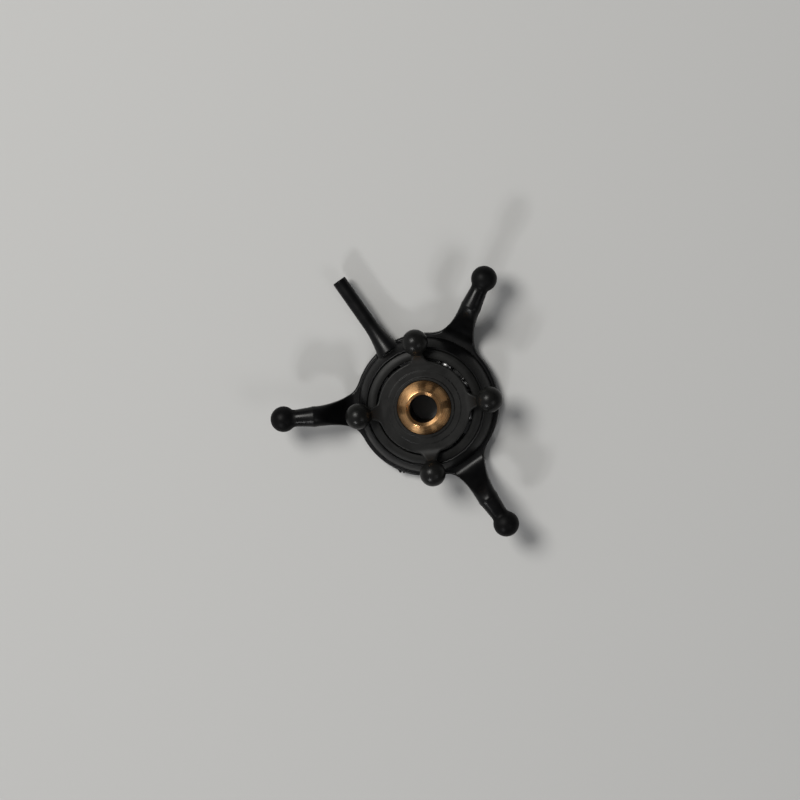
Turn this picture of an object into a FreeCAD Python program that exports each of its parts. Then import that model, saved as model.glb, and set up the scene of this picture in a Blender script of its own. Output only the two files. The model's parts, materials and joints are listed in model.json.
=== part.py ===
import FreeCAD, Part
import math
import os
import re

import Sketcher

# Swashplate of a small model helicopter, in millimetres.
#
# A moulded outer ring with three cranked servo arms and an anti-rotation pin stays still. A ball
# bearing in its cup carries a moulded star with four short arms, which turns with the rotor. A brass
# ball in the star's socket slides on the rotor shaft and lets the whole plate tilt.
#
# Origin: the centre of the brass ball, on the shaft's axis. +Z points up the shaft, and +Y along the
# anti-rotation pin. Heights of the outer ring are measured from its underside.

SIZES = {
    # rotor shaft and the brass ball on it
    "shaft_bore_radius": (2.515, "bore for a 5 mm shaft, with sliding clearance"),
    "ball_radius": (5.0, "brass ball"),
    "ball_half_height": (3.85, "from the ball's centre to its flat ends"),
    "bore_chamfer": (0.55, "chamfer at each mouth of the bore"),
    "ball_height": (6.8, "ball centre above the outer ring's underside"),
    # ball bearing, 12 x 21 x 5
    "bearing_bore_radius": (6.0, "inner race"),
    "bearing_outer_radius": (10.5, "outer race"),
    "bearing_width": (5.0, "both races"),
    "rolling_share": (0.53, "bearing ball's diameter, as a share of the races' section"),
    "shoulder_share": (0.422, "gap between the races' shoulders, as a share of their section"),
    "rolling_play": (0.05, "between a bearing ball and each groove"),
    "race_chamfer": (0.25, "edges of both races"),
    # ribbon cage
    "cage_angle": (27.0, "first bearing ball from +X, in degrees"),
    "cage_sheet": (0.3, "thickness of the pressed sheet"),
    "cage_play": (0.06, "between a bearing ball and its pocket"),
    "ribbon_share": (0.245, "width of the ribbon, as a share of the races' section"),
    "rivet_radius": (0.25, "rivet shank"),
    "rivet_head_radius": (0.42, "rivet head"),
    "rivet_head_height": (0.16, "rivet head"),
    # outer ring
    "press_gap": (0.01, "radial gap of the pressed pieces"),
    "land_width": (1.7, "lip and retainer cover the outer race by this much"),
    "lip_thickness": (0.6, "lip under the outer race"),
    "flange_wall": (2.6, "flange beyond the bearing"),
    "flange_height": (2.4, "flange"),
    "flange_bevel": (0.45, "top edge of the flange"),
    "flange_round": (0.35, "bottom edge of the flange"),
    "ledge": (0.2, "flat ledge inside the flange's bevel"),
    "rim_wall": (0.4, "top of the cup's wall"),
    "rim_rise": (0.3, "cup's top above the bearing"),
    "rim_chamfer": (0.12, "mouth of the cup"),
    "wall_bulge": (7.0, "radius of the cup's rounded outside"),
    # bearing retainer
    "retainer_edge": (0.4, "thickness at its outer edge"),
    "retainer_crown": (0.6, "thickness at its inner edge"),
    # servo arms
    "link_ball_radius": (2.35, "all link balls"),
    "link_radius": (25.84, "centres of the servo link balls, from the shaft's axis"),
    "link_height": (7.3, "centres of the servo link balls, above the underside"),
    "neck_length": (5.6, "from the crank's end to the ball's centre"),
    "neck_root_radius": (1.83, "neck at the crank"),
    "neck_tip_radius": (1.56, "neck at the ball"),
    "crank_end_width": (3.75, "crank at the neck"),
    "crank_end_depth": (3.66, "crank at the neck"),
    "crank_root_width": (7.7, "crank at the flange"),
    "crank_root_spread": (10.4, "crank inside the flange"),
    "crank_root_lift": (0.3, "underside of the crank at the flange"),
    "crank_corner": (0.6, "rounded corners of the crank"),
    "root_bite": (1.1, "arms and pin start this far outside the bearing"),
    # anti-rotation pin
    "pin_radius": (1.3, "pin"),
    "pin_reach": (27.75, "end of the pin, from the shaft's axis"),
    "pin_height": (2.7, "pin's axis above the underside"),
    "pin_chamfer": (0.12, "end of the pin"),
    "pin_flare": (0.55, "extra radius at the pin's root"),
    "pin_flare_length": (4.6, "flare of the pin"),
    # rotating star
    "star_angle": (62.55, "first star arm from +X, in degrees"),
    "seat_gap": (0.03, "between the brass ball and its socket"),
    "bore_gap": (0.1, "between the brass ball and the sleeve's bore"),
    "hub_radius": (8.45, "hub plate"),
    "hub_top": (0.95, "top of the hub plate above the ball's centre"),
    "hub_bottom": (0.1, "underside of the hub plate above the ball's centre"),
    "hub_round": (0.4, "top edge of the hub plate"),
    "collar_radius": (5.45, "raised collar round the socket"),
    "collar_rise": (0.15, "raised collar round the socket"),
    "hub_step_radius": (6.65, "shallow step on the hub plate"),
    "hub_step": (0.08, "shallow step on the hub plate"),
    "race_shoulder": (1.2, "star and socket cap cover the inner race by this much"),
    "star_link_radius": (12.05, "centres of the star's link balls, from the shaft's axis"),
    "star_link_height": (1.8, "centres of the star's link balls, above the brass ball's centre"),
    "star_neck_radius": (0.92, "star arm at its ball"),
    "star_neck_length": (1.65, "from the neck's start to the ball's centre"),
    "star_root_width": (4.6, "star arm inside the hub plate"),
    "star_root_inset": (1.0, "star arm starts this far inside the hub's edge"),
    "star_corner": (0.3, "rounded corners of the star arm's root"),
    "star_neck_flat": (0.01, "flat left between the neck's rounded corners"),
    # socket cap
    "cap_flange": (0.5, "flange under the inner race"),
    "cap_seat_drop": (2.0, "top of the cap below the ball's centre"),
    "cap_opening_radius": (3.9, "opening under the ball"),
    "cap_mouth_radius": (4.55, "opening at the underside, for the tilted shaft"),
}
ROLLING_BALLS = 10
SERVO_ARMS = 3
STAR_ARMS = 4
# Sections of the arms, as shares of their length, and how fast the wide roots narrow.
CRANK_SHARES = (0.0, 0.125, 0.25, 0.5, 0.75, 1.0)
CRANK_TAPER = 3.2
STAR_SHARES = (0.0, 0.35, 0.65, 1.0)
STAR_TAPER = 1.8

doc = FreeCAD.newDocument("swashplate")
sheet = doc.addObject("Spreadsheet::Sheet", "size")
for row, (alias, (value, meaning)) in enumerate(SIZES.items(), start=1):
    sheet.set(f"A{row}", alias)
    sheet.set(f"B{row}", str(value))
    sheet.set(f"C{row}", meaning)
    sheet.setAlias(f"B{row}", alias)
doc.recompute()

# Lengths that several pieces share, worked out from the sheet.
PITCH = "((bearing_bore_radius + bearing_outer_radius) / 2)"
HALF_SECTION = "((bearing_outer_radius - bearing_bore_radius) / 2)"
ROLLING = f"({HALF_SECTION} * rolling_share)"
SHOULDER = f"({HALF_SECTION} * shoulder_share)"
GROOVE = f"({ROLLING} + rolling_play)"
POCKET = "(bearing_outer_radius + press_gap)"
SLEEVE = "(bearing_bore_radius - press_gap)"
SLEEVE_BORE = "(ball_radius + bore_gap)"
SOCKET = "(ball_radius + seat_gap)"
FLANGE = "(bearing_outer_radius + flange_wall)"
RACE_BOTTOM = "lip_thickness"
RACE_TOP = "(lip_thickness + bearing_width)"
RACE_MIDDLE = "(lip_thickness + bearing_width / 2 - ball_height)"
RIM_TOP = f"({RACE_TOP} + rim_rise)"
CRANK_END = "(link_radius - neck_length)"
ROOT = "(bearing_outer_radius + root_bite)"
COVER = "(bearing_bore_radius + race_shoulder)"
LAND = "(bearing_outer_radius - land_width)"


def bound(text):
    """Turn the sheet's names in a formula into references to its cells."""
    return re.sub(r"[a-z]\w*", lambda m: "size." + m[0] if m[0] in SIZES else m[0], text)


def number(text):
    """The present value of a formula."""
    return float(sheet.evalExpression(bound(text)))


def origin_part(body, role):
    return next(o for o in body.Origin.OriginFeatures if o.Role == role)


def new_body(label, height="0", turn="0"):
    """A body with its own name, its height above the brass ball's centre and its turn about Z."""
    body = doc.addObject("PartDesign::Body", label)
    body.Label = label
    body.Placement = FreeCAD.Placement()
    body.setExpression("Placement.Base.z", bound(height))
    body.setExpression("Placement.Rotation.Angle", bound(turn))
    return body


def arc_between(start, end, radius):
    """The shorter arc from start to end: a positive radius turns left, a negative one right."""
    chord = end - start
    left = FreeCAD.Vector(-chord.y, chord.x, 0).normalize()
    rise = math.sqrt(max(radius**2 - chord.Length**2 / 4, 0))
    centre = (start + end) / 2 + left * math.copysign(rise, radius)
    first, last = (start, end) if radius > 0 else (end, start)
    angles = [math.atan2(p.y - centre.y, p.x - centre.x) for p in (first, last)]
    return Part.ArcOfCircle(Part.Circle(centre, FreeCAD.Vector(0, 0, 1), abs(radius)), *angles)


def add_outline(sketch, corners):
    """Draw a closed outline and bind it to the sheet.

    A corner is (across, up), or (across, up, radius, side) when an arc leaves it for the next
    corner. side is 1 for an arc that turns left and -1 for one that turns right.
    """
    places = [FreeCAD.Vector(number(c[0]), number(c[1]), 0) for c in corners]
    first = sketch.GeometryCount
    starts, ends = [], []
    for k, corner in enumerate(corners):
        here, there = places[k], places[(k + 1) % len(corners)]
        edge = first + k
        if len(corner) == 2:
            sketch.addGeometry(Part.LineSegment(here, there))
            starts.append((edge, 1))
            ends.append((edge, 2))
        else:
            side = corner[3]
            sketch.addGeometry(arc_between(here, there, side * number(corner[2])))
            starts.append((edge, 1 if side > 0 else 2))
            ends.append((edge, 2 if side > 0 else 1))
    for k in range(len(corners)):
        sketch.addConstraint(Sketcher.Constraint("Coincident", *ends[k - 1], *starts[k]))
    for k, corner in enumerate(corners):
        bind(sketch, "DistanceX", (-1, 1, *starts[k]), corner[0])
        bind(sketch, "DistanceY", (-1, 1, *starts[k]), corner[1])
        if len(corner) == 4:
            bind(sketch, "Radius", (first + k,), corner[2])


def bind(sketch, kind, where, text):
    """Add one dimension that follows the sheet."""
    index = sketch.addConstraint(Sketcher.Constraint(kind, *where, number(text)))
    sketch.setExpression(f"Constraints[{index}]", bound(text))


def new_sketch(body, name, role, away="0"):
    """A sketch on one of the body's origin planes, or this far along the plane's normal."""
    sketch = body.newObject("Sketcher::SketchObject", name)
    sketch.AttachmentSupport = (origin_part(body, role), "")
    sketch.MapMode = "FlatFace"
    sketch.setExpression("AttachmentOffset.Base.z", bound(away))
    return sketch


def add_axis(sketch, start, end):
    """A construction line for a revolution, as (across, up) at each end."""
    places = [FreeCAD.Vector(number(p[0]), number(p[1]), 0) for p in (start, end)]
    line = sketch.addGeometry(Part.LineSegment(*places), True)
    for point, corner in ((1, start), (2, end)):
        bind(sketch, "DistanceX", (-1, 1, line, point), corner[0])
        bind(sketch, "DistanceY", (-1, 1, line, point), corner[1])


def turned(body, name, outlines, cut=False, role="XZ_Plane", axis=None):
    """Revolve outlines about Z, or about a line given as two points of the sketch."""
    sketch = new_sketch(body, name + "_outline", role)
    for corners in outlines:
        add_outline(sketch, corners)
    if axis:
        add_axis(sketch, *axis)
    doc.recompute()
    kind = "PartDesign::Groove" if cut else "PartDesign::Revolution"
    feature = body.newObject(kind, name)
    feature.Profile = sketch
    feature.ReferenceAxis = (sketch, ["Axis0"]) if axis else (origin_part(body, "Z_Axis"), [""])
    feature.Angle = 360
    sketch.Visibility = False
    doc.recompute()
    return feature


def repeated(body, name, features, count):
    """Repeat features evenly about Z."""
    pattern = body.newObject("PartDesign::PolarPattern", name)
    pattern.Originals = features
    pattern.Axis = (origin_part(body, "Z_Axis"), [""])
    pattern.Angle = 360
    pattern.Occurrences = count
    body.Tip = pattern
    doc.recompute()
    return pattern


def rounded_box(width, low, high, corner):
    """Outline of a rounded rectangle, centred across, between two heights."""
    side = f"({width}) / 2"
    return [
        (f"-{side} + {corner}", low),
        (f"{side} - {corner}", low, corner, 1),
        (side, f"{low} + {corner}"),
        (side, f"{high} - {corner}", corner, 1),
        (f"{side} - {corner}", high),
        (f"-{side} + {corner}", high, corner, 1),
        (f"-{side}", f"{high} - {corner}"),
        (f"-{side}", f"{low} + {corner}", corner, 1),
    ]


def lofted(body, name, sections):
    """Loft through rounded sections along -Y: (distance, width, low, high, corner)."""
    sketches = []
    for k, (away, *section) in enumerate(sections):
        sketch = new_sketch(body, f"{name}_section_{k + 1}", "XZ_Plane", away)
        add_outline(sketch, rounded_box(*section))
        sketch.Visibility = False
        sketches.append(sketch)
    doc.recompute()
    loft = body.newObject("PartDesign::AdditiveLoft", name)
    loft.Profile = sketches[0]
    loft.Sections = sketches[1:]
    doc.recompute()
    return loft


# ---------------------------------------------------------------- outer ring and bearing retainer
def make_outer_ring():
    body = new_body("outer_ring", "-ball_height")
    turned(
        body,
        "cup",
        [
            [
                (LAND, "0"),
                (f"{FLANGE} - flange_round", "0", "flange_round", 1),
                (FLANGE, "flange_round"),
                (FLANGE, "flange_height - flange_bevel"),
                (f"{FLANGE} - flange_bevel", "flange_height"),
                (f"{FLANGE} - flange_bevel - ledge", "flange_height", "wall_bulge", 1),
                (f"{POCKET} + rim_wall", RIM_TOP),
                (f"{POCKET} + rim_chamfer", RIM_TOP),
                (POCKET, f"{RIM_TOP} - rim_chamfer"),
                (POCKET, "lip_thickness"),
                (LAND, "lip_thickness"),
            ]
        ],
    )
    crank = lofted(body, "crank", crank_sections())
    neck_end = "(link_radius - sqrt(link_ball_radius^2 - neck_tip_radius^2))"
    link = turned(
        body,
        "servo_link_ball",
        [
            [
                (f"-{CRANK_END} + crank_corner", "link_height"),
                ("-link_radius - link_ball_radius", "link_height", "link_ball_radius", -1),
                (f"-{neck_end}", "link_height + neck_tip_radius"),
                (f"-{CRANK_END} + crank_corner", "link_height + neck_root_radius"),
            ]
        ],
        role="YZ_Plane",
        axis=(("-link_radius", "link_height"), (f"-{CRANK_END}", "link_height")),
    )
    repeated(body, "servo_arms", [crank, link], SERVO_ARMS)
    flare_start = f"({FLANGE} + pin_flare)"
    flare_end = f"({flare_start} + pin_flare_length)"
    turned(
        body,
        "anti_rotation_pin",
        [
            [
                (ROOT, "pin_height"),
                ("pin_reach", "pin_height"),
                ("pin_reach", "pin_height + pin_radius - pin_chamfer"),
                ("pin_reach - pin_chamfer", "pin_height + pin_radius"),
                (
                    flare_end,
                    "pin_height + pin_radius",
                    "(pin_flare_length^2 + pin_flare^2) / (2 * pin_flare)",
                    -1,
                ),
                (flare_start, "pin_height + pin_radius + pin_flare"),
                (ROOT, "pin_height + pin_radius + pin_flare"),
            ]
        ],
        role="YZ_Plane",
        axis=((ROOT, "pin_height"), ("pin_reach", "pin_height")),
    )
    return body


def crank_sections():
    """Sections of the crank, which climbs from the flange to the neck in an S."""
    neck_low = "(link_height - crank_end_depth / 2)"
    neck_high = "(link_height + crank_end_depth / 2)"
    sections = [(ROOT, "crank_root_spread", "crank_root_lift", "flange_height", "crank_corner")]
    for share in CRANK_SHARES:
        climb = share**2 * (3 - 2 * share)
        spread = (1 - share) ** CRANK_TAPER
        sections.append(
            (
                f"{FLANGE} + ({CRANK_END} - {FLANGE}) * {share}",
                f"crank_end_width + (crank_root_width - crank_end_width) * {spread:.4f}",
                f"(crank_root_lift + ({neck_low} - crank_root_lift) * {climb:.4f})",
                f"(flange_height + ({neck_high} - flange_height) * {climb:.4f})",
                "crank_corner",
            )
        )
    return sections


def make_bearing_retainer():
    """Pressed into the cup, on top of the outer race."""
    body = new_body("bearing_retainer", f"{RACE_TOP} - ball_height")
    edge = "(bearing_outer_radius - rim_chamfer)"
    turned(
        body,
        "retainer_ring",
        [
            [
                (LAND, "0"),
                ("bearing_outer_radius", "0"),
                ("bearing_outer_radius", "retainer_edge - rim_chamfer"),
                (edge, "retainer_edge", "land_width + retainer_crown", 1),
                (f"{LAND} + rim_chamfer", "retainer_crown"),
                (LAND, "retainer_crown - rim_chamfer"),
            ]
        ],
    )
    return body


# ---------------------------------------------------------------- ball bearing
def make_race(label, wall, shoulder):
    """A race: a ring with a groove that faces the balls. wall is its fitted face's radius."""
    body = new_body(label, RACE_MIDDLE)
    outward = 1 if number(wall) > number(shoulder) else -1
    sign = "-" if outward > 0 else "+"
    half = "bearing_width / 2"
    groove_half = f"sqrt({GROOVE}^2 - {SHOULDER}^2)"
    turned(
        body,
        label + "_ring",
        [
            [
                (f"{wall} {sign} race_chamfer", f"-{half}"),
                (wall, f"-{half} + race_chamfer"),
                (wall, f"{half} - race_chamfer"),
                (f"{wall} {sign} race_chamfer", half),
                (shoulder, half),
                (shoulder, groove_half, GROOVE, -outward),
                (shoulder, f"-{groove_half}"),
                (shoulder, f"-{half}"),
            ]
        ],
    )
    return body


def make_cage_half(label, up):
    """One pressed half of the ribbon cage, with domed pockets. up is 1 or -1."""
    body = new_body(label, RACE_MIDDLE, "cage_angle")
    sign = "" if up > 0 else "-"
    ribbon = f"({HALF_SECTION} * ribbon_share)"
    inner = f"({PITCH} - {ribbon})"
    outer = f"({PITCH} + {ribbon})"
    pocket = f"({ROLLING} + cage_play)"
    dome = f"({pocket} + cage_sheet)"
    axis = ((PITCH, "0"), (PITCH, f"{sign}{dome}"))
    turned(
        body,
        "ribbon",
        [
            [
                (inner, "0"),
                (outer, "0"),
                (outer, f"{sign}cage_sheet"),
                (inner, f"{sign}cage_sheet"),
            ]
        ],
    )
    shell = turned(body, "dome", [quarter_disc(dome, sign, up)], axis=axis)
    repeated(body, "domes", [shell], ROLLING_BALLS)
    beyond = f"(2 * {dome})"
    turned(
        body,
        "ribbon_edges",
        [
            [
                (outer, "0"),
                (f"{PITCH} + {beyond}", "0"),
                (f"{PITCH} + {beyond}", f"{sign}{beyond}"),
                (outer, f"{sign}{beyond}"),
            ],
            [
                (f"{PITCH} - {beyond}", "0"),
                (inner, "0"),
                (inner, f"{sign}{beyond}"),
                (f"{PITCH} - {beyond}", f"{sign}{beyond}"),
            ],
        ],
        cut=True,
    )
    hollow = turned(body, "pocket", [quarter_disc(pocket, sign, up)], cut=True, axis=axis)
    repeated(body, "pockets", [hollow], ROLLING_BALLS)
    hole = rivet_hole(body, up)
    repeated(body, "rivet_holes", [hole], ROLLING_BALLS)
    return body


def rivet_hole(body, up):
    """A hole through the ribbon, midway between two balls."""
    sketch = new_sketch(body, "rivet_hole_outline", "XY_Plane")
    middle = f"180deg / {ROLLING_BALLS}"
    centre = (f"{PITCH} * cos({middle})", f"{PITCH} * sin({middle})")
    place = FreeCAD.Vector(number(centre[0]), number(centre[1]), 0)
    radius = "rivet_radius + press_gap"
    circle = sketch.addGeometry(Part.Circle(place, FreeCAD.Vector(0, 0, 1), number(radius)))
    bind(sketch, "DistanceX", (-1, 1, circle, 3), centre[0])
    bind(sketch, "DistanceY", (-1, 1, circle, 3), centre[1])
    bind(sketch, "Radius", (circle,), radius)
    doc.recompute()
    solid_volume = body.Shape.Volume
    hole = body.newObject("PartDesign::Pocket", "rivet_hole")
    hole.Profile = sketch
    hole.Type = "ThroughAll"
    hole.Reversed = up > 0
    sketch.Visibility = False
    doc.recompute()
    if hole.Shape.Volume >= solid_volume:
        raise RuntimeError("the rivet hole cuts nothing")
    return hole


def quarter_disc(radius, sign, up):
    """A quarter disc on the circle of ball centres, for a dome above or below it."""
    return [
        (PITCH, "0"),
        (f"{PITCH} + {radius}", "0", radius, up),
        (PITCH, f"{sign}{radius}"),
    ]


def make_rolling_ball(index):
    label = f"bearing_ball_{index + 1:02d}"
    ball = doc.addObject("Part::Sphere", label)
    ball.Label = label
    angle = f"(cage_angle * 1deg + {index} * 360deg / {ROLLING_BALLS})"
    ball.Placement = FreeCAD.Placement()
    ball.setExpression("Radius", bound(ROLLING))
    ball.setExpression("Placement.Base.x", bound(f"{PITCH} * cos({angle})"))
    ball.setExpression("Placement.Base.y", bound(f"{PITCH} * sin({angle})"))
    ball.setExpression("Placement.Base.z", bound(RACE_MIDDLE))
    return ball


def make_cage_rivets():
    """The rivets that join the cage's halves, midway between the balls."""
    body = new_body("cage_rivets", RACE_MIDDLE, f"cage_angle + 180 / {ROLLING_BALLS}")
    body.AllowCompound = True
    head = "(cage_sheet + rivet_head_height)"
    rivet = turned(
        body,
        "rivet",
        [
            [
                (PITCH, f"-{head}"),
                (f"{PITCH} + rivet_head_radius", f"-{head}"),
                (f"{PITCH} + rivet_head_radius", "-cage_sheet"),
                (f"{PITCH} + rivet_radius", "-cage_sheet"),
                (f"{PITCH} + rivet_radius", "cage_sheet"),
                (f"{PITCH} + rivet_head_radius", "cage_sheet"),
                (f"{PITCH} + rivet_head_radius", head),
                (PITCH, head),
            ]
        ],
        axis=((PITCH, f"-{head}"), (PITCH, head)),
    )
    repeated(body, "rivets", [rivet], ROLLING_BALLS)
    return body


# ---------------------------------------------------------------- star, socket cap and brass ball
def make_rotating_star():
    body = new_body("rotating_star", "0", "star_angle")
    collar_top = "(hub_top + collar_rise)"
    hub_edge_top = "(hub_top - hub_step)"
    race_top = f"({RACE_TOP} - ball_height)"
    race_bottom = f"({RACE_BOTTOM} - ball_height)"
    turned(
        body,
        "hub",
        [
            [
                (f"sqrt({SOCKET}^2 - {collar_top}^2)", collar_top, SOCKET, -1),
                (SOCKET, "0"),
                (SLEEVE_BORE, "0"),
                (SLEEVE_BORE, race_bottom),
                (SLEEVE, race_bottom),
                (SLEEVE, race_top),
                (COVER, race_top),
                (COVER, "hub_bottom"),
                ("hub_radius", "hub_bottom"),
                ("hub_radius", f"{hub_edge_top} - hub_round", "hub_round", 1),
                ("hub_radius - hub_round", hub_edge_top),
                ("hub_step_radius + hub_step", hub_edge_top),
                ("hub_step_radius", "hub_top"),
                ("collar_radius + collar_rise", "hub_top"),
                ("collar_radius", collar_top),
            ]
        ],
    )
    arm = lofted(body, "star_arm", star_arm_sections(hub_edge_top))
    link = turned(
        body,
        "star_link_ball",
        [
            [
                ("-star_link_radius - link_ball_radius", "star_link_height", "link_ball_radius", -1),
                ("-star_link_radius", "star_link_height + link_ball_radius", "link_ball_radius", -1),
                ("-star_link_radius + link_ball_radius", "star_link_height"),
            ]
        ],
        role="YZ_Plane",
        axis=(("-star_link_radius", "star_link_height"), ("0", "star_link_height")),
    )
    repeated(body, "star_arms", [arm, link], STAR_ARMS)
    return body


def star_arm_sections(hub_edge_top):
    """Sections of a star arm, from a flat root inside the hub plate to a round neck."""
    root = "(hub_radius - star_root_inset)"
    neck = "(star_link_radius - star_neck_length)"
    neck_low = "(star_link_height - star_neck_radius)"
    neck_high = "(star_link_height + star_neck_radius)"
    sections = []
    for share in STAR_SHARES:
        climb = share**2
        spread = (1 - share) ** STAR_TAPER
        sections.append(
            (
                f"{root} + ({neck} - {root}) * {share}",
                f"2 * star_neck_radius + (star_root_width - 2 * star_neck_radius) * {spread:.4f}",
                f"(hub_bottom + ({neck_low} - hub_bottom) * {climb:.4f})",
                f"({hub_edge_top} + ({neck_high} - {hub_edge_top}) * {climb:.4f})",
                f"(star_corner + (star_neck_radius - star_neck_flat - star_corner) * {climb:.4f})",
            )
        )
    return sections


def make_socket_cap():
    """Pushed up into the star's sleeve: lower half of the socket, and holds the inner race."""
    body = new_body("socket_cap")
    race_bottom = f"({RACE_BOTTOM} - ball_height)"
    turned(
        body,
        "cap",
        [
            [
                ("cap_mouth_radius", f"{race_bottom} - cap_flange"),
                (COVER, f"{race_bottom} - cap_flange"),
                (COVER, race_bottom),
                (f"{SLEEVE_BORE} - press_gap", race_bottom),
                (f"{SLEEVE_BORE} - press_gap", "-cap_seat_drop"),
                (f"sqrt({SOCKET}^2 - cap_seat_drop^2)", "-cap_seat_drop", SOCKET, -1),
                ("cap_opening_radius", f"-sqrt({SOCKET}^2 - cap_opening_radius^2)"),
            ]
        ],
    )
    return body


def make_center_ball():
    body = new_body("center_ball")
    flat = "sqrt(ball_radius^2 - ball_half_height^2)"
    turned(
        body,
        "turned_ball",
        [
            [
                ("shaft_bore_radius", "-ball_half_height + bore_chamfer"),
                ("shaft_bore_radius + bore_chamfer", "-ball_half_height"),
                (flat, "-ball_half_height", "ball_radius", 1),
                (flat, "ball_half_height"),
                ("shaft_bore_radius + bore_chamfer", "ball_half_height"),
                ("shaft_bore_radius", "ball_half_height - bore_chamfer"),
            ]
        ],
    )
    return body


pieces = [
    make_outer_ring(),
    make_bearing_retainer(),
    make_race("bearing_outer_race", "bearing_outer_radius", f"({PITCH} + {SHOULDER})"),
    make_race("bearing_inner_race", "bearing_bore_radius", f"({PITCH} - {SHOULDER})"),
    make_cage_half("cage_upper", 1),
    make_cage_half("cage_lower", -1),
    make_cage_rivets(),
    *[make_rolling_ball(index) for index in range(ROLLING_BALLS)],
    make_rotating_star(),
    make_socket_cap(),
    make_center_ball(),
]
doc.recompute()

for item in doc.Objects:
    if {"Invalid", "Error"} & set(item.State):
        raise RuntimeError(f"{item.Label} failed: {item.State}")
for piece in pieces:
    if piece.Shape.isNull() or not piece.Shape.isValid():
        raise RuntimeError(f"{piece.Label} has no valid shape")

os.makedirs("parts", exist_ok=True)
for piece in pieces:
    piece.Shape.exportStep(os.path.join("parts", piece.Label + ".step"))
    box = piece.Shape.BoundBox
    print(piece.Label, len(piece.Shape.Solids), round(piece.Shape.Volume, 3), box)
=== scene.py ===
import json
import math

import bpy
import numpy as np
from mathutils import Matrix, Vector


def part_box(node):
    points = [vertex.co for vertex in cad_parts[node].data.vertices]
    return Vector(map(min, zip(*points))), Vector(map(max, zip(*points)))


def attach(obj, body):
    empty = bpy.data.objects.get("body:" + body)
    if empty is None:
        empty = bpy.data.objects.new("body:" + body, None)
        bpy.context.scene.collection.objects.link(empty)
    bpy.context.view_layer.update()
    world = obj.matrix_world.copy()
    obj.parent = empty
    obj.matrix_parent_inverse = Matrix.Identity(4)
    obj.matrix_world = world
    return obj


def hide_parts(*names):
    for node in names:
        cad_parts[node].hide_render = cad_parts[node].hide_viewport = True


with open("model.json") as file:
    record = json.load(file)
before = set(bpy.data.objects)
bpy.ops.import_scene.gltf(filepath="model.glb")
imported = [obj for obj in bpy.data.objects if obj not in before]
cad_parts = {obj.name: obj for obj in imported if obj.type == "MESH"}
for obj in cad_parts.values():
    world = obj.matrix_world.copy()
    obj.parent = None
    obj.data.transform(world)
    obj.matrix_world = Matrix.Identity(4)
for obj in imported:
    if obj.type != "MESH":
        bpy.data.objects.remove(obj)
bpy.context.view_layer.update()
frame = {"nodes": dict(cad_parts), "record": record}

# A small helicopter's swashplate, lying on its ring. Blender's lengths are metres. The moulded and
# turned shapes below are worked out in millimetres, in the part's own frame: the brass ball's
# centre is the origin, +Z runs up the shaft and +Y along the anti-rotation pin.
MM = 0.001
MOUNTS = {mount["name"]: mount for mount in frame["record"]["mounts"]}


def millimetres(vector):
    return np.array(vector, float) / MM


def low(node):
    """A CAD node's lowest corner."""
    return millimetres(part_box(node)[0])


def high(node):
    """A CAD node's highest corner."""
    return millimetres(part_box(node)[1])


def ball_centres(prefix):
    """Centres of the link balls whose mounts' names start like this."""
    return [millimetres(m["pos_m"]) for name, m in MOUNTS.items() if name.startswith(prefix)]


# ------------------------------------------------------------------------------ sizes, in mm
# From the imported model.
BASE = low("outer_ring")[2]                      # underside of the ring, which is the floor
RACE_RADIUS = high("bearing_outer_race")[0]
RACE_BOTTOM = low("bearing_outer_race")[2]
RACE_TOP = high("bearing_outer_race")[2]
SERVO_BALLS = ball_centres("servo_link_ball")
STAR_BALLS = ball_centres("star_link_ball")
PIN = MOUNTS["anti_rotation_pin"]
PIN_RADIUS = PIN["dims"]["r_mm"]
PIN_HEIGHT = PIN["pos_m"][2] / MM
PIN_END = high("outer_ring")[1]
BALL_RADIUS = high("center_ball")[0]
BALL_HALF_HEIGHT = high("center_ball")[2]
BORE = MOUNTS["shaft_bore"]["dims"]["r_mm"]

# Both mouldings. A place along an arm is its distance from the shaft's axis.
LINK_RADIUS = 2.35                               # all link balls
PLAY = 0.01                                      # between a moulding and a bearing race

# The ring's cup.
LAND = RACE_RADIUS - 1.7                         # inner edge of the ring's lip and the retainer
FLANGE = RACE_RADIUS + 2.6
FLANGE_TOP = BASE + 2.4
FLANGE_ROUND = 0.42                              # corners of the flange's edge
CORE_FOOT = FLANGE - 0.8                         # the cup's own edge, hidden in the flange plate
CORE_EDGE = FLANGE - 0.55
CORE_TOP = FLANGE - 0.65
CORE_BEVEL = 0.3
WALL_FOOT = FLANGE - 0.72                        # where the wall's hollow meets the flange
WALL_HOLLOW = 7.0
RIM_EDGE = RACE_RADIUS + 0.41
RIM_TOP = -0.9                                   # top of the cup's wall
RIM_CREST = (RACE_RADIUS + 0.26, RIM_TOP + 0.001)
RIM_ROUND = 0.3
SEAT_CHAMFER = 0.12                              # at the mouth of the bearing's seat

# The ring's servo arms.
ARM_START = 6.0                                  # inside the cup
FLARE_START = FLANGE - 1.0                       # where an arm's sides draw in
FLARE = 2.45                                     # how far each side draws in on the way to the neck
FLARE_POWER = 2.9                                # the higher, the sooner
STEP_UP = 0.3                                    # from the flange's underside to the arm's
CRANK_END = 20.24                                # where the neck begins
CRANK_ROUND = 0.96                               # how nearly round the neck is there
NECK = 1.84                                      # the neck's radius there
NECK_TAPER = 0.28                                # what the neck loses on the way to its ball
NECK_END = math.hypot(*SERVO_BALLS[0][:2]) - LINK_RADIUS
RIDGE = 0.055                                    # a slight ridge round the start of the neck
RIDGE_LENGTH = 0.5

# The ring's anti-rotation pin.
PIN_START = FLANGE - 1.2
PIN_ROOT = FLANGE + 0.55
PIN_FLARE = 0.55                                 # what its flare adds to the radius at that place
PIN_FLARE_LENGTH = 4.6
PIN_FLARE_LIMIT = 1.3                            # the flare's growth stops inside the flange
PIN_CHAMFER = 0.12
DIAGONAL = 0.7071

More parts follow.
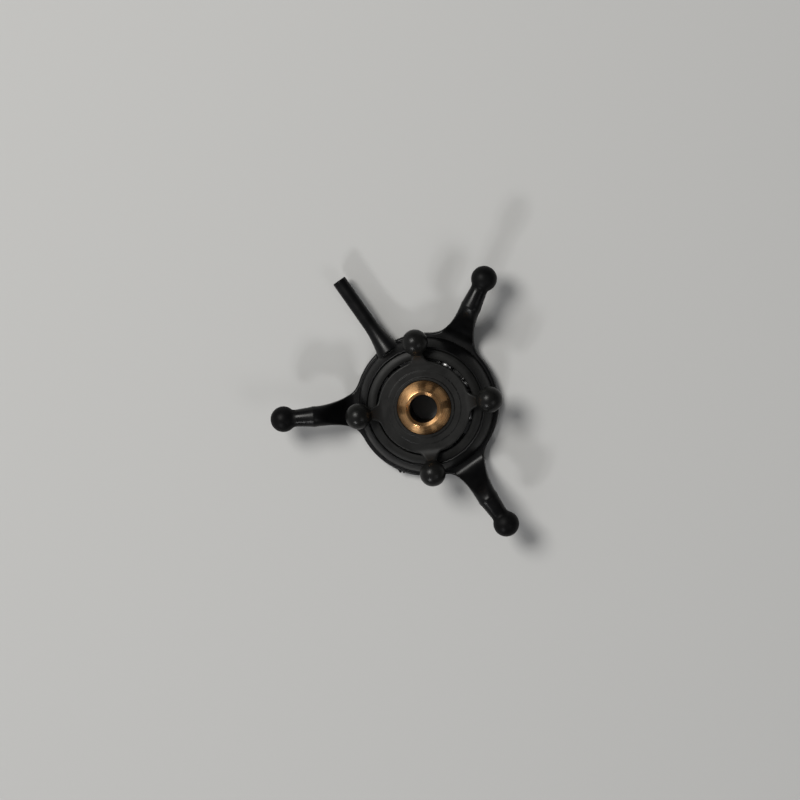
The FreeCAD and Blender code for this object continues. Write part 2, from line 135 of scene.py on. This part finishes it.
# Crumbs of flash on the ring as (degrees round the ring, how proud, radius).
BURR = [(211.9, 0.10, 0.16), (213.4, 0.24, 0.21), (216.0, 0.13, 0.16)]
BURR_SINK = 0.05
BURR_DROP = 0.5                                  # below the flange's top

# The star's hub.
INNER_RADIUS = 6.0                               # bore of the inner race
SOCKET = BALL_RADIUS + 0.03
SLEEVE_BORE = BALL_RADIUS + 0.1
SHOULDER = INNER_RADIUS + 1.2                    # outer edge of what rests on the inner race
HUB_TOP = 0.95
HUB_BOTTOM = 0.1
HUB_RADIUS = 8.45
HUB_ROUND = 0.3
STEP_DEPTH = 0.08                                # the plate steps down this far outside the collar
STEP_START = 6.65
STEP_END = 6.73
COLLAR_TOP = HUB_TOP + 0.15                      # the collar round the brass ball
COLLAR_EDGE = 5.45
COLLAR_FOOT = 5.60
COLLAR_ROUND = 0.4
SOCKET_MOUTH = math.sqrt(SOCKET**2 - COLLAR_TOP**2)

# The star's arms.
STAR_START = 4.0                                 # inside the hub
STAR_REACH = math.hypot(*STAR_BALLS[0][:2])
STAR_ROOT = HUB_RADIUS - 1.0                     # where an arm begins to climb and narrow
STAR_ROOT_HALF = 2.3                             # half its width there
STAR_FLARE_POWER = 1.8
STAR_NECK_START = STAR_REACH - 1.65
STAR_NECK = 0.92                                 # its radius from there on
STAR_NECK_ROUND = 0.98                           # how nearly round it is there

# The brass ball.
BALL_FACE = math.sqrt(BALL_RADIUS**2 - BALL_HALF_HEIGHT**2)
FACE_EDGE = 0.03                                 # the broken edge of its end faces
FACE_EDGE_HEIGHT = 0.01
BORE_CHAMFER = 0.55

# Fillets where two forms of a moulding meet.
FLANGE_TO_ARM = 1.0
ARM_TO_BALL = 0.22
RING_TO_PIN = 0.35
RING_TO_BURR = 0.12
HUB_TO_ARM = 0.5
STAR_TO_BALL = 0.3

# How finely the mouldings are meshed.
RING_CELL = 0.2
STAR_CELL = 0.15
SETTLING_STEPS = 4                               # times that each vertex is moved onto the surface
SLOPE_REACH = 0.01                               # half the span over which a slope is measured
SHADING_REACH = 0.03                             # the same, for normals
FLATTEST = 0.2                                   # least squared slope that a step trusts
CRANK_SCALE = 0.9                                # makes up for the cranked arms' steep sides
STAR_SCALE = 0.85
FAR = 1e6


# ------------------------------------------------------------------------------ distance fields
# A moulded piece is a signed distance: negative inside, and blended where two forms meet in a
# fillet. Each function takes arrays of positions in millimetres.
def blend(first, second, fillet):
    """Union of two forms with a fillet of about this size between them."""
    share = np.clip(0.5 + 0.5 * (second - first) / fillet, 0.0, 1.0)
    return second + (first - second) * share - fillet * share * (1.0 - share)


def outline_distance(corners, across, up):
    """Distance to a closed outline in a half plane through the axis."""
    nearest = np.full(np.shape(across), FAR, dtype=across.dtype)
    inside = np.zeros(np.shape(across), dtype=bool)
    for (ax, ay), (bx, by) in zip(corners, corners[1:] + corners[:1]):
        ex, ey = bx - ax, by - ay
        wx, wy = across - ax, up - ay
        share = np.clip((wx * ex + wy * ey) / (ex * ex + ey * ey), 0.0, 1.0)
        nearest = np.minimum(nearest, (wx - ex * share) ** 2 + (wy - ey * share) ** 2)
        if ay != by:
            spans = (ay <= up) != (by <= up)
            inside ^= spans & (wx < wy * (ex / ey))
    return np.where(inside, -1.0, 1.0) * np.sqrt(nearest)


def arc(start, end, radius, steps):
    """Points of an arc that bulges to the right of the way from start to end, without its end."""
    start, end = np.array(start, float), np.array(end, float)
    way = end - start
    length = np.hypot(*way)
    left = np.array([-way[1], way[0]]) / length
    centre = (start + end) / 2 + left * math.sqrt(max(radius**2 - length**2 / 4, 0.0))
    first = math.atan2(*(start - centre)[::-1])
    last = math.atan2(*(end - centre)[::-1])
    turn = (last - first) % (2 * math.pi)
    angles = [first + turn * k / steps for k in range(steps)]
    return [(centre[0] + radius * math.cos(a), centre[1] + radius * math.sin(a)) for a in angles]


def nearest_arm(x, y, balls):
    """Distance out along the nearest of the arms that point at these balls, and across it."""
    out = np.full(np.shape(x), -FAR, dtype=x.dtype)
    across = np.zeros(np.shape(x), dtype=x.dtype)
    for centre in balls:
        length = math.hypot(centre[0], centre[1])
        cos, sin = centre[0] / length, centre[1] / length
        this_out = x * cos + y * sin
        nearer = this_out > out
        out = np.where(nearer, this_out, out)
        across = np.where(nearer, np.abs(y * cos - x * sin), across)
    return out, across


def link_balls(x, y, z, balls):
    """Distance to the nearest of the moulded link balls."""
    squares = [(x - c[0]) ** 2 + (y - c[1]) ** 2 + (z - c[2]) ** 2 for c in balls]
    return np.sqrt(np.minimum.reduce(squares)) - LINK_RADIUS


def rounded_slab(edge, up, bottom, top, corner):
    """Distance to a slab with rounded edges. edge is the distance outside its plan."""
    side = edge + corner
    rise = np.abs(up - (top + bottom) / 2) - (top - bottom) / 2 + corner
    outside = np.hypot(np.maximum(side, 0.0), np.maximum(rise, 0.0))
    return outside + np.minimum(np.maximum(side, rise), 0.0) - corner


def progress(value, start, end):
    """How far a value has come from start to end, from 0 to 1."""
    return np.clip((value - start) / (end - start), 0.0, 1.0)


def ease(share):
    """An S from 0 to 1."""
    return share * share * (3.0 - 2.0 * share)


def between(first, second, share):
    return first * (1 - share) + second * share


CUP = [
    (LAND, BASE),
    (CORE_FOOT, BASE),
    (CORE_EDGE, FLANGE_TOP - CORE_BEVEL),
    (CORE_TOP, FLANGE_TOP),
    *arc((WALL_FOOT, FLANGE_TOP), (RIM_EDGE, RIM_TOP), WALL_HOLLOW, 8),
    *arc((RIM_EDGE, RIM_TOP), RIM_CREST, RIM_ROUND, 2),
    (RACE_RADIUS + PLAY + SEAT_CHAMFER, RIM_TOP),
    (RACE_RADIUS + PLAY, RIM_TOP - SEAT_CHAMFER),
    (RACE_RADIUS + PLAY, RACE_BOTTOM),
    (LAND, RACE_BOTTOM),
]


def flange_plate(x, y, z):
    """The flange, and the cranked servo arms that leave it flush, climb and narrow to their necks."""
    out, across = nearest_arm(x, y, SERVO_BALLS)
    height = SERVO_BALLS[0][2]
    climb = ease(progress(out, FLANGE, CRANK_END))
    flare = progress(out, CRANK_END, FLARE_START) ** FLARE_POWER
    taper = NECK_TAPER * progress(out, CRANK_END, NECK_END)
    ridge = RIDGE * np.exp(-(((out - CRANK_END) / RIDGE_LENGTH) ** 2))
    neck = NECK + ridge - taper
    strip = across - neck - FLARE * flare
    strip = np.maximum(strip, np.maximum(ARM_START - out, out - NECK_END - LINK_RADIUS))
    plan = blend(np.hypot(x, y) - FLANGE, strip, FLANGE_TO_ARM)
    underside = BASE + STEP_UP * progress(out, FLANGE, FLANGE + 1.0)
    bottom = between(underside, height - neck, climb)
    top = between(FLANGE_TOP, height + neck, climb)
    corner = FLANGE_ROUND * (1 - climb) + CRANK_ROUND * neck * climb**2
    return CRANK_SCALE * rounded_slab(plan, z, bottom, top, corner)


def guide_pin(x, y, z):
    """The anti-rotation pin, flared where it leaves the flange."""
    share = np.clip(1.0 - (y - PIN_ROOT) / PIN_FLARE_LENGTH, 0.0, PIN_FLARE_LIMIT)
    radius = PIN_RADIUS + PIN_FLARE * share**2
    side = np.hypot(x, z - PIN_HEIGHT) - radius
    end = y - PIN_END
    body = np.maximum(side, np.maximum(end, (side + end + PIN_CHAMFER) * DIAGONAL))
    return np.maximum(body, PIN_START - y)


def flash(x, y, z):
    """A few torn crumbs of moulding flash on the flange's edge."""
    crumbs = []
    for angle, proud, size in BURR:
        a = math.radians(angle)
        reach = FLANGE + proud - BURR_SINK
        cx, cy = reach * math.cos(a), reach * math.sin(a)
        gap = np.sqrt((x - cx) ** 2 + (y - cy) ** 2 + (z - FLANGE_TOP + BURR_DROP) ** 2)
        crumbs.append(gap - size)
    return np.minimum.reduce(crumbs)


def outer_ring(x, y, z):
    radius = np.hypot(x, y)
    plate = blend(flange_plate(x, y, z), link_balls(x, y, z, SERVO_BALLS), ARM_TO_BALL)
    ring = np.minimum(outline_distance(CUP, radius, z), plate)
    ring = blend(ring, guide_pin(x, y, z), RING_TO_PIN)
    ring = blend(ring, flash(x, y, z), RING_TO_BURR)
    seat = np.maximum(radius - RACE_RADIUS - PLAY, RACE_BOTTOM - z)
    return np.maximum(ring, np.maximum(-seat, LAND - radius))


HUB = [
    *arc((SOCKET, 0.0), (SOCKET_MOUTH, COLLAR_TOP), SOCKET, 4),
    (SOCKET_MOUTH, COLLAR_TOP),
    *arc((COLLAR_EDGE, COLLAR_TOP), (COLLAR_FOOT, HUB_TOP), COLLAR_ROUND, 3),
    (COLLAR_FOOT, HUB_TOP),
    (STEP_START, HUB_TOP),
    (STEP_END, HUB_TOP - STEP_DEPTH),
    (SHOULDER, HUB_TOP - STEP_DEPTH),
    (SHOULDER, RACE_TOP),
    (INNER_RADIUS - PLAY, RACE_TOP),
    (INNER_RADIUS - PLAY, RACE_BOTTOM),
    (SLEEVE_BORE, RACE_BOTTOM),
    (SLEEVE_BORE, 0.0),
]


def star_plate(x, y, z):
    """The flat hub plate and the arms, which leave it flush and climb to their balls' height."""
    out, across = nearest_arm(x, y, STAR_BALLS)
    height = STAR_BALLS[0][2]
    share = progress(out, STAR_ROOT, STAR_NECK_START)
    climb = share**2
    strip = across - STAR_NECK - (STAR_ROOT_HALF - STAR_NECK) * (1.0 - share) ** STAR_FLARE_POWER
    strip = np.maximum(strip, np.maximum(STAR_START - out, out - STAR_REACH))
    plan = blend(np.hypot(x, y) - HUB_RADIUS, strip, HUB_TO_ARM)
    bottom = between(HUB_BOTTOM, height - STAR_NECK, climb)
    top = between(HUB_TOP - STEP_DEPTH, height + STAR_NECK, climb)
    corner = between(HUB_ROUND, STAR_NECK_ROUND * STAR_NECK, climb)
    return STAR_SCALE * rounded_slab(plan, z, bottom, top, corner)


def rotating_star(x, y, z):
    radius = np.hypot(x, y)
    star = np.maximum(star_plate(x, y, z), INNER_RADIUS - radius)
    star = np.minimum(star, outline_distance(HUB, radius, z))
    return blend(star, link_balls(x, y, z, STAR_BALLS), STAR_TO_BALL)


# ------------------------------------------------------------------------------ meshes
def crossings(field, axis):
    """Grid edges along an axis that cross the surface: their starts, how far along, and which way."""
    ends = [slice(None)] * 3
    ends[axis] = slice(1, None)
    starts = [slice(None)] * 3
    starts[axis] = slice(None, -1)
    before, after = field[tuple(starts)], field[tuple(ends)]
    at = np.argwhere((before < 0) != (after < 0))
    a, b = before[tuple(at.T)], after[tuple(at.T)]
    return at, a / (a - b), a < 0


def surface_net(distance, lowest, highest, cell):
    """Mesh a distance field's surface: a vertex in each crossed cell, a quad round each crossed edge."""
    lines = []
    for start, end in zip(lowest, highest):
        lines.append(np.arange(start - cell, end + 2 * cell, cell, dtype=np.float32))
    field = distance(*np.meshgrid(*lines, indexing="ij"))
    shape = np.array(field.shape) - 1
    step = np.array([shape[1] * shape[2], shape[2], 1])
    total = int(np.prod(shape))
    sums, counts, quads = np.zeros((total, 3)), np.zeros(total), []
    for axis in range(3):
        at, share, leaving = crossings(field, axis)
        point = at.astype(float)
        point[:, axis] += share
        one, two = (axis + 1) % 3, (axis + 2) % 3
        corners = []
        for back_one, back_two in ((0, 0), (1, 0), (1, 1), (0, 1)):
            cells = at.copy()
            cells[:, one] -= back_one
            cells[:, two] -= back_two
            index = cells @ step
            corners.append(index)
            for k in range(3):
                sums[:, k] += np.bincount(index, point[:, k], total)
            counts += np.bincount(index, minlength=total)
        faces = np.stack(corners, 1)
        faces[~leaving] = faces[~leaving][:, ::-1]
        quads.append(faces)
    used = np.flatnonzero(counts)
    vertices = sums[used] / counts[used, None] * cell + np.array([line[0] for line in lines])
    number = np.full(total, -1)
    number[used] = np.arange(len(used))
    return vertices, number[np.vstack(quads)]


def slope(distance, points, reach):
    """The distance field's gradient at points."""
    columns = []
    for axis in range(3):
        shift = np.zeros(3)
        shift[axis] = reach
        ahead = distance(*(points + shift).T)
        behind = distance(*(points - shift).T)
        columns.append((ahead - behind) / (2 * reach))
    return np.stack(columns, 1)


def placed(name, mesh, node):
    """Put a new mesh in the scene, in place of a CAD node and on that node's body."""
    piece = bpy.data.objects.new(name, mesh)
    bpy.context.scene.collection.objects.link(piece)
    body = next(b for b, nodes in frame["record"]["behaviour"]["bodies"].items() if node in nodes)
    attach(piece, body)
    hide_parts(node)
    return piece


def smooth_mesh(name, vertices, faces):
    mesh = bpy.data.meshes.new(name)
    mesh.from_pydata(vertices, [], faces)
    mesh.polygons.foreach_set("use_smooth", [True] * len(mesh.polygons))
    return mesh


def moulded_piece(name, distance, node, cell):
    """A fine mesh of a distance field that stands for a CAD node."""
    vertices, quads = surface_net(distance, low(node), high(node), cell)
    for _ in range(SETTLING_STEPS):
        gradient = slope(distance, vertices, SLOPE_REACH)
        size = np.maximum((gradient**2).sum(1), FLATTEST)
        move = distance(*vertices.T) / size
        vertices -= np.clip(move, -cell, cell)[:, None] * gradient
    normals = slope(distance, vertices, SHADING_REACH)
    normals /= np.maximum(np.linalg.norm(normals, axis=1), 1e-6)[:, None]
    mesh = smooth_mesh(name, (vertices * MM).tolist(), quads.tolist())
    mesh.validate()
    mesh.normals_split_custom_set_from_vertices(normals.tolist())
    return placed(name, mesh, node)


def turned_piece(name, outline, node, segments=192, sharp=math.radians(28)):
    """An outline revolved about Z, shaded smooth but for its sharp edges."""
    count = len(outline)
    vertices = []
    for a in np.linspace(0.0, 2 * math.pi, segments, endpoint=False):
        vertices += [(r * math.cos(a) * MM, r * math.sin(a) * MM, z * MM) for r, z in outline]
    faces = []
    for s in range(segments):
        here, there = s * count, (s + 1) % segments * count
        for k in range(count):
            after = (k + 1) % count
            faces.append((here + k, there + k, there + after, here + after))
    mesh = smooth_mesh(name, vertices, faces)
    mesh.set_sharp_from_angle(angle=sharp)
    return placed(name, mesh, node)


# ------------------------------------------------------------------------------ materials
# Textures are laid out in metres in the part's own frame, and a noise's scale is per metre.
CLOUDS = 420.0
GRAIN = 6500.0
GRAIN_DEPTH = 0.03 * MM
SWELLS = 900.0
SWELL_DEPTH = 0.1 * MM
MARKS = 260.0                                    # the lathe's, on the brass
MARKS_STRETCH = 60.0                             # how much finer they are along the axis
MARK_DEPTH = 0.04 * MM
MARK_STRENGTH = 0.25
STAINS = 500.0
FILMS = 700.0
BORE_SHADE_EDGE = BORE + 0.02                           # painted shade darkens the brass out to this radius, in mm
BORE_SHADE_FADE = 0.08
UNEVEN_COLOR = (0.7, 1.3)                        # share of a plastic's colour, from dark to light
UNEVEN_FINISH = (0.86, 1.14)                     # and of its roughness
FILM_SHADE = 0.8                                 # share of a steel's colour where its film is dark
FILM_FINISH = (0.8, 1.25)                        # share of its roughness
NO_LEVEL = -100.0                                # below everything, in mm
LEVEL_FADE = 0.25                                # height over which a finish changes at its level


def new_material(name):
    """A material, its node tree and its shader."""
    material = bpy.data.materials.new(name)
    material.use_nodes = True
    tree = material.node_tree
    return material, tree, tree.nodes["Principled BSDF"]


def positions(tree):
    return tree.nodes.new("ShaderNodeTexCoord").outputs["Object"]


def noise(tree, place, scale, detail=4.0):
    texture = tree.nodes.new("ShaderNodeTexNoise")
    texture.inputs["Scale"].default_value = scale
    texture.inputs["Detail"].default_value = detail
    texture.inputs["Roughness"].default_value = 0.55
    tree.links.new(place, texture.inputs["Vector"])
    return texture.outputs["Fac"]


def ramp(tree, value, lowest, highest, start=0.3, end=0.7):
    """Map a value from the range between start and end onto lowest to highest."""
    node = tree.nodes.new("ShaderNodeMapRange")
    node.inputs["From Min"].default_value = start
    node.inputs["From Max"].default_value = end
    node.inputs["To Min"].default_value = lowest
    node.inputs["To Max"].default_value = highest
    tree.links.new(value, node.inputs["Value"])
    return node.outputs["Result"]


def arithmetic(tree, operation, first, second):
    node = tree.nodes.new("ShaderNodeMath")
    node.operation = operation
    tree.links.new(first, node.inputs[0])
    tree.links.new(second, node.inputs[1])
    return node.outputs["Value"]


def mixed(tree, share, first, second):
    """A colour between two others. Each is three numbers, or a node's output."""
    node = tree.nodes.new("ShaderNodeMix")
    node.data_type = "RGBA"
    tree.links.new(share, node.inputs["Factor"])
    for side, color in (("A", first), ("B", second)):
        if isinstance(color, tuple):
            node.inputs[side].default_value = (*color, 1.0)
        else:
            tree.links.new(color, node.inputs[side])
    return node.outputs["Result"]


def shaded(color, factor):
    return tuple(c * factor for c in color)


def axis_distance(tree, place):
    """Distance from the shaft's axis."""
    flat = tree.nodes.new("ShaderNodeVectorMath")
    flat.operation = "MULTIPLY"
    flat.inputs[1].default_value = (1.0, 1.0, 0.0)
    tree.links.new(place, flat.inputs[0])
    length = tree.nodes.new("ShaderNodeVectorMath")
    length.operation = "LENGTH"
    tree.links.new(flat.outputs["Vector"], length.inputs[0])
    return length.outputs["Value"]


def bump(tree, height, strength, depth, normal=None):
    node = tree.nodes.new("ShaderNodeBump")
    node.inputs["Strength"].default_value = strength
    node.inputs["Distance"].default_value = depth
    tree.links.new(height, node.inputs["Height"])
    if normal:
        tree.links.new(normal, node.inputs["Normal"])
    return node.outputs["Normal"]


def banded_finish(tree, place, bands, level, low_reach):
    """Roughness and gloss that change with the distance from the shaft's axis."""
    reach = bands[-1][0]
    band = tree.nodes.new("ShaderNodeValToRGB")
    stops = band.color_ramp.elements
    while len(stops) < len(bands):
        stops.new(1.0)
    for stop, (distance, roughness, gloss) in zip(stops, bands):
        stop.position = distance / reach
        stop.color = (roughness, gloss, 0.0, 1.0)
    away = ramp(tree, axis_distance(tree, place), 0.0, 1.0, 0.0, reach * MM)
    split = tree.nodes.new("ShaderNodeSeparateXYZ")
    tree.links.new(place, split.inputs["Vector"])
    fade = (level * MM, (level + LEVEL_FADE) * MM)
    furthest = ramp(tree, split.outputs["Z"], low_reach / reach, 1.0, *fade)
    tree.links.new(arithmetic(tree, "MINIMUM", away, furthest), band.inputs["Fac"])
    finish = tree.nodes.new("ShaderNodeSeparateColor")
    tree.links.new(band.outputs["Color"], finish.inputs["Color"])
    return finish.outputs["Red"], finish.outputs["Green"]


def moulded_plastic(name, color, grain, bands, level=NO_LEVEL, low_reach=0.0):
    """Black filled nylon: a fine grain, cloudy roughness and slightly uneven colour.

    bands gives its finish at distances in mm from the shaft's axis, as (distance, roughness,
    gloss). Below the level, in mm, the finish at low_reach holds from there on out.
    """
    material, tree, shader = new_material(name)
    place = positions(tree)
    cloud = noise(tree, place, CLOUDS)
    speckle = noise(tree, place, GRAIN, detail=2.0)
    swell = noise(tree, place, SWELLS, detail=3.0)
    dark, light = (shaded(color, factor) for factor in UNEVEN_COLOR)
    uneven = mixed(tree, ramp(tree, cloud, 0.0, 1.0), dark, light)
    tree.links.new(uneven, shader.inputs["Base Color"])
    roughness, gloss = banded_finish(tree, place, bands, level, low_reach)
    if len({band[2] for band in bands}) == 1:
        shader.inputs["Specular IOR Level"].default_value = bands[0][2]
    else:
        tree.links.new(gloss, shader.inputs["Specular IOR Level"])
    cloudy = arithmetic(tree, "MULTIPLY", roughness, ramp(tree, cloud, *UNEVEN_FINISH))
    tree.links.new(cloudy, shader.inputs["Roughness"])
    fine = bump(tree, speckle, grain, GRAIN_DEPTH)
    broad = bump(tree, swell, grain * 0.5, SWELL_DEPTH, fine)
    tree.links.new(broad, shader.inputs["Normal"])
    return material


def turned_brass(name, dark, bright, bore_shade, roughness):
    """Brass with fine marks round the axis, slight staining, and painted shade, near black, inside its
    bore.
    """
    material, tree, shader = new_material(name)
    place = positions(tree)
    shader.inputs["Metallic"].default_value = 1.0
    shader.inputs["Anisotropic"].default_value = 1.0
    shader.inputs["Anisotropic Rotation"].default_value = 0.25
    stretch = tree.nodes.new("ShaderNodeMapping")
    stretch.inputs["Scale"].default_value = (1.0, 1.0, MARKS_STRETCH)
    tree.links.new(place, stretch.inputs["Vector"])
    marks = noise(tree, stretch.outputs["Vector"], MARKS, detail=3.0)
    stain = noise(tree, place, STAINS)
    stained = mixed(tree, ramp(tree, stain, 0.0, 1.0), dark, bright)
    # Painted shade: the bore's wall and the start of its chamfer are painted near black.
    fade = (BORE_SHADE_EDGE * MM, (BORE_SHADE_EDGE + BORE_SHADE_FADE) * MM)
    outside_bore_shade = ramp(tree, axis_distance(tree, place), 0.0, 1.0, *fade)
    tree.links.new(mixed(tree, outside_bore_shade, bore_shade, stained), shader.inputs["Base Color"])
    tree.links.new(ramp(tree, marks, *roughness), shader.inputs["Roughness"])
    tangent = tree.nodes.new("ShaderNodeTangent")
    tangent.direction_type = "RADIAL"
    tangent.axis = "Z"
    tree.links.new(tangent.outputs["Tangent"], shader.inputs["Tangent"])
    tree.links.new(bump(tree, marks, MARK_STRENGTH, MARK_DEPTH), shader.inputs["Normal"])
    return material


def steel(name, color, roughness):
    """Bright steel under a thin, uneven film of oil."""
    material, tree, shader = new_material(name)
    shader.inputs["Metallic"].default_value = 1.0
    film = noise(tree, positions(tree), FILMS)
    oiled = mixed(tree, ramp(tree, film, 0.0, 1.0), shaded(color, FILM_SHADE), color)
    tree.links.new(oiled, shader.inputs["Base Color"])
    smeared = ramp(tree, film, *[roughness * factor for factor in FILM_FINISH])
    tree.links.new(smeared, shader.inputs["Roughness"])
    return material


def dress(piece, material):
    piece.data.materials.clear()
    piece.data.materials.append(material)


# The mould's polish shows on the servo arms' necks, and the balls are dull.
RING_PLASTIC = moulded_plastic(
    "ring_plastic",
    color=(0.0028, 0.0028, 0.003),
    grain=0.14,
    bands=[
        (0.0, 0.38, 0.14),
        (12.7, 0.38, 0.14),
        (13.6, 0.31, 0.19),
        (16.4, 0.31, 0.19),
        (17.6, 0.35, 0.14),
        (20.6, 0.35, 0.14),
        (22.0, 0.27, 0.14),
        (23.2, 0.21, 0.14),
        (23.8, 0.47, 0.07),
    ],
    level=-2.6,
    low_reach=17.6,
)
STAR_BLACK = (0.0065, 0.0065, 0.0062)
STAR_PLASTIC = moulded_plastic(
    "star_plastic",
    color=STAR_BLACK,
    grain=0.4,
    bands=[(0.0, 0.46, 0.18), (9.4, 0.44, 0.18), (10.3, 0.3, 0.14)],
)
RETAINER_PLASTIC = moulded_plastic(
    "retainer_plastic",
    color=STAR_BLACK,
    grain=0.4,
    bands=[(0.0, 0.46, 0.16), (12.0, 0.46, 0.16)],
)
BRASS = turned_brass(
    "brass",
    dark=(0.46, 0.24, 0.10),
    bright=(0.70, 0.42, 0.20),
    # near black, painted shade for the bore
    bore_shade=(0.02, 0.014, 0.01),
    roughness=(0.22, 0.34),
)
RACE_STEEL = steel("race_steel", color=(0.42, 0.43, 0.45), roughness=0.22)
BALL_STEEL = steel("ball_steel", color=(0.8, 0.81, 0.83), roughness=0.06)
CAGE_STEEL = steel("cage_steel", color=(0.2, 0.2, 0.2), roughness=0.3)

# ------------------------------------------------------------------------------ pieces
ring = moulded_piece("ring_moulding", outer_ring, "outer_ring", RING_CELL)
dress(ring, RING_PLASTIC)
star = moulded_piece("star_moulding", rotating_star, "rotating_star", STAR_CELL)
dress(star, STAR_PLASTIC)

arc_bottom = (BALL_FACE, -BALL_HALF_HEIGHT + FACE_EDGE_HEIGHT)
arc_top = (BALL_FACE, BALL_HALF_HEIGHT - FACE_EDGE_HEIGHT)
brass = turned_piece(
    "brass_ball",
    [
        (BORE, -BALL_HALF_HEIGHT + BORE_CHAMFER),
        (BORE + BORE_CHAMFER, -BALL_HALF_HEIGHT),
        (BALL_FACE - FACE_EDGE, -BALL_HALF_HEIGHT),
        *arc(arc_bottom, arc_top, BALL_RADIUS, 64),
        arc_top,
        (BALL_FACE - FACE_EDGE, BALL_HALF_HEIGHT),
        (BORE + BORE_CHAMFER, BALL_HALF_HEIGHT),
        (BORE, BALL_HALF_HEIGHT - BORE_CHAMFER),
    ],
    "center_ball",
)
dress(brass, BRASS)

for node, material in (
    ("bearing_retainer", RETAINER_PLASTIC),
    ("socket_cap", STAR_PLASTIC),
    ("bearing_outer_race", RACE_STEEL),
    ("bearing_inner_race", RACE_STEEL),
    ("cage_upper", CAGE_STEEL),
    ("cage_lower", CAGE_STEEL),
    ("cage_rivets", CAGE_STEEL),
):
    dress(frame["nodes"][node], material)
for name, piece in frame["nodes"].items():
    if name.startswith("bearing_ball"):
        dress(piece, BALL_STEEL)

# ------------------------------------------------------------------------------ floor
FLOOR_HALF = 1.5
FLOOR_COLOR = (0.45, 0.45, 0.445, 1.0)
FLOOR_ROUGHNESS = 0.9
FLOOR_GLOSS = 0.1

floor_corners = [(x * FLOOR_HALF, y * FLOOR_HALF, 0) for x, y in ((-1, -1), (1, -1), (1, 1), (-1, 1))]
floor_mesh = bpy.data.meshes.new("floor")
floor_mesh.from_pydata(floor_corners, [], [(0, 1, 2, 3)])
floor = bpy.data.objects.new("floor", floor_mesh)
floor.location.z = BASE * MM
bpy.context.scene.collection.objects.link(floor)
paper, _, paper_shader = new_material("floor")
paper_shader.inputs["Base Color"].default_value = FLOOR_COLOR
paper_shader.inputs["Roughness"].default_value = FLOOR_ROUGHNESS
paper_shader.inputs["Specular IOR Level"].default_value = FLOOR_GLOSS
floor_mesh.materials.append(paper)

# ------------------------------------------------------------------------------ camera and light
IMAGE_UP = math.radians(54.73)                   # the picture's up, as an angle from +X
LEAN = math.radians(7.28)                        # camera off the shaft's axis
LEAN_TOWARD = math.radians(12.1)
DISTANCE = 1.0
FIELD = 0.1452                                   # width of the view at the object
OFFSET = (4.43, -1.34)                           # object's axis from the view's centre, right and up
VIEW_HEIGHT = 0.5                                # level of the point the camera is aimed past, in mm
SENSOR = 36.0

toward_camera = Vector(
    (math.sin(LEAN) * math.cos(LEAN_TOWARD), math.sin(LEAN) * math.sin(LEAN_TOWARD), math.cos(LEAN))
)
right = Vector((math.cos(IMAGE_UP), math.sin(IMAGE_UP), 0.0)).cross(toward_camera).normalized()
up = toward_camera.cross(right)
turn = Matrix((right, up, toward_camera)).transposed()
camera_data = bpy.data.cameras.new("camera")
camera_data.sensor_width = SENSOR
camera_data.lens = SENSOR * DISTANCE / FIELD
camera_data.clip_start = 0.01
camera = bpy.data.objects.new("camera", camera_data)
target = Vector((0.0, 0.0, VIEW_HEIGHT * MM)) - right * OFFSET[0] * MM - up * OFFSET[1] * MM
camera.matrix_world = Matrix.Translation(target + toward_camera * DISTANCE) @ turn.to_4x4()
bpy.context.scene.collection.objects.link(camera)
bpy.context.scene.camera = camera


def way_toward(azimuth, elevation):
    """The way from the object toward a light, in degrees from +X and above the floor."""
    a, e = math.radians(azimuth), math.radians(elevation)
    return Vector((math.cos(a) * math.cos(e), math.sin(a) * math.cos(e), math.sin(e)))


def lamp(name, azimuth, elevation, distance, size, power, color=(1.0, 1.0, 1.0)):
    """A round softbox that faces the object."""
    light = bpy.data.lights.new(name, "AREA")
    light.shape = "DISK"
    light.size = size
    light.energy = power
    light.color = color
    way = way_toward(azimuth, elevation)
    piece = bpy.data.objects.new(name, light)
    piece.location = way * distance
    piece.rotation_mode = "QUATERNION"
    piece.rotation_quaternion = way.to_track_quat("Z", "Y")
    bpy.context.scene.collection.objects.link(piece)


WARM = (1.0, 0.985, 0.95)
lamp("key", azimuth=104.0, elevation=57.0, distance=0.7, size=0.3, power=4.1, color=WARM)
lamp("window_left", azimuth=208.0, elevation=33.0, distance=0.7, size=0.07, power=0.9)
lamp("window_right", azimuth=216.0, elevation=33.0, distance=0.7, size=0.07, power=0.6)
lamp("third", azimuth=-70.0, elevation=45.0, distance=0.8, size=0.3, power=0.6)

# A pale wall stands to the left of the picture, low down; the rest of the room is dim.
WALL = way_toward(150.0, 20.0)
ROOM_COLOR = (0.97, 0.98, 1.0, 1.0)
ROOM_STRENGTH = 0.11
WALL_STRENGTH = 0.38

world = bpy.data.worlds.new("studio")
world.use_nodes = True
room = world.node_tree
sky = room.nodes["Background"]
sky.inputs["Color"].default_value = ROOM_COLOR
toward_wall = room.nodes.new("ShaderNodeVectorMath")
toward_wall.operation = "DOT_PRODUCT"
toward_wall.inputs[1].default_value = WALL
room.links.new(room.nodes.new("ShaderNodeTexCoord").outputs["Generated"], toward_wall.inputs[0])
glow = ramp(room, toward_wall.outputs["Value"], ROOM_STRENGTH, WALL_STRENGTH, start=0.2, end=0.9)
room.links.new(glow, sky.inputs["Strength"])
bpy.context.scene.world = world
bpy.context.scene.view_settings.view_transform = "Standard"
